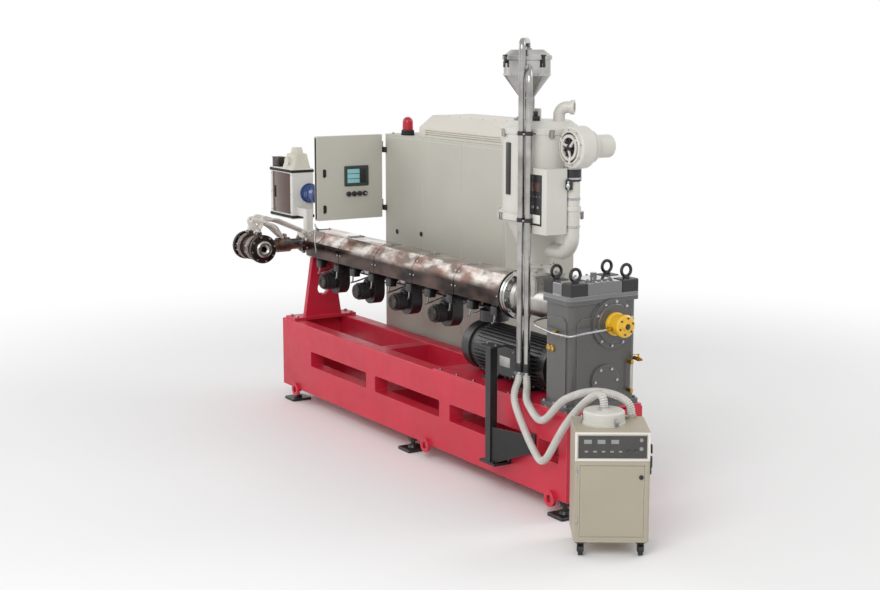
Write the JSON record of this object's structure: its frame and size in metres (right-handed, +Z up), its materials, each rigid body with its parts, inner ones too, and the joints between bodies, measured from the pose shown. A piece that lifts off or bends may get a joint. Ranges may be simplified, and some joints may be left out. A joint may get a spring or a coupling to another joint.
{
  "type": "single-screw plastic extruder",
  "caption": "Single-screw extruder on a red frame, with gearbox, covered barrel, crosshead, hopper dryer, suction unit and a control cabinet whose panel door swings.",
  "frame": {"origin": "middle of the whole machine's outline, at floor level", "axes": "+X along the barrel from the die to the gearbox, +Y from the operator's side to the cabinet, +Z up"},
  "size_m": [4.9041, 1.4679, 2.669],
  "materials": {
    "red_paint": "semi-gloss",
    "black_steel": "satin",
    "charcoal_paint": "satin",
    "charcoal_gloss": "gloss",
    "yellow_paint": "gloss",
    "bare_steel": "machined",
    "bright_steel": "polished",
    "heater_metal": "heat-tinted",
    "polished_sheet": "mirror",
    "dark_steel": "dark",
    "white_paint": "satin",
    "cream_paint": "satin",
    "blue_paint": "gloss",
    "grey_paint": "satin",
    "screen_plastic": "glossy",
    "black_plastic": "matte",
    "red_lens": "translucent",
    "beige_paint": "satin",
    "clear_hose": "ribbed"
  },
  "bodies": {
    "machine": {"alarm_light": "red_lens", "band_heaters": "heater_metal", "barrel": "bare_steel", "barrel_covers": "polished_sheet", "barrel_flange": "bright_steel", "barrel_head_clamp": "bare_steel", "barrel_support": "red_paint", "bearing_caps": "charcoal_paint", "cabinet_plinth": "grey_paint", "cabinet_roof_unit": "grey_paint", "control_cabinet": "grey_paint", "coupling_guard": "black_steel", "crosshead_body": "dark_steel", "crosshead_heaters": "heater_metal", "drive_deck": "red_paint", "drive_motor": "black_steel", "dryer_base": "cream_paint", "dryer_blower": "cream_paint", "dryer_cone": "cream_paint", "dryer_control_box": "cream_paint", "dryer_drum": "cream_paint", "dryer_duct": "cream_paint", "dryer_exhaust": "cream_paint", "dryer_lid": "cream_paint", "feed_housing": "bare_steel", "frame_cross_members": "red_paint", "front_side_frame": "red_paint", "gearbox_housing": "charcoal_paint", "gearbox_lid": "charcoal_gloss", "gearbox_lifting_eyes": "black_steel", "head_box": "white_paint", "head_box_cap": "cream_paint", "head_box_motor": "blue_paint", "head_box_post": "white_paint", "levelling_feet": "black_steel", "lifting_rings": "red_paint", "loader_cabinet": "beige_paint", "loader_canister": "cream_paint", "loader_casters": "black_plastic", "loader_control_panel": "black_plastic", "material_hose": "clear_hose", "material_riser_pipe": "bare_steel", "melt_adapter": "heater_metal", "motor_fan_cowl": "black_steel", "motor_terminal_box": "black_steel", "oil_pump": "yellow_paint", "panel_hinges": "black_steel", "rail_bracket": "black_steel", "rear_side_frame": "red_paint", "riser_stays": "bare_steel", "side_melt_pipe": "heater_metal", "vacuum_hose": "clear_hose", "vacuum_receiver": "bright_steel", "vacuum_riser_pipe": "bare_steel", "zone_blowers": "black_steel"},
    "panel_door": {"operator_panel": "grey_paint", "touch_screen": "screen_plastic", "panel_buttons": "black_plastic"}
  },
  "joints": [
    {"name": "operator_panel_swing", "type": "hinge", "parent": "machine", "child": "panel_door", "pos_m": [-1.371, 0.17, 1.67], "axis": [0, 0, 1], "range_deg": [-180, 0]}
  ]
}
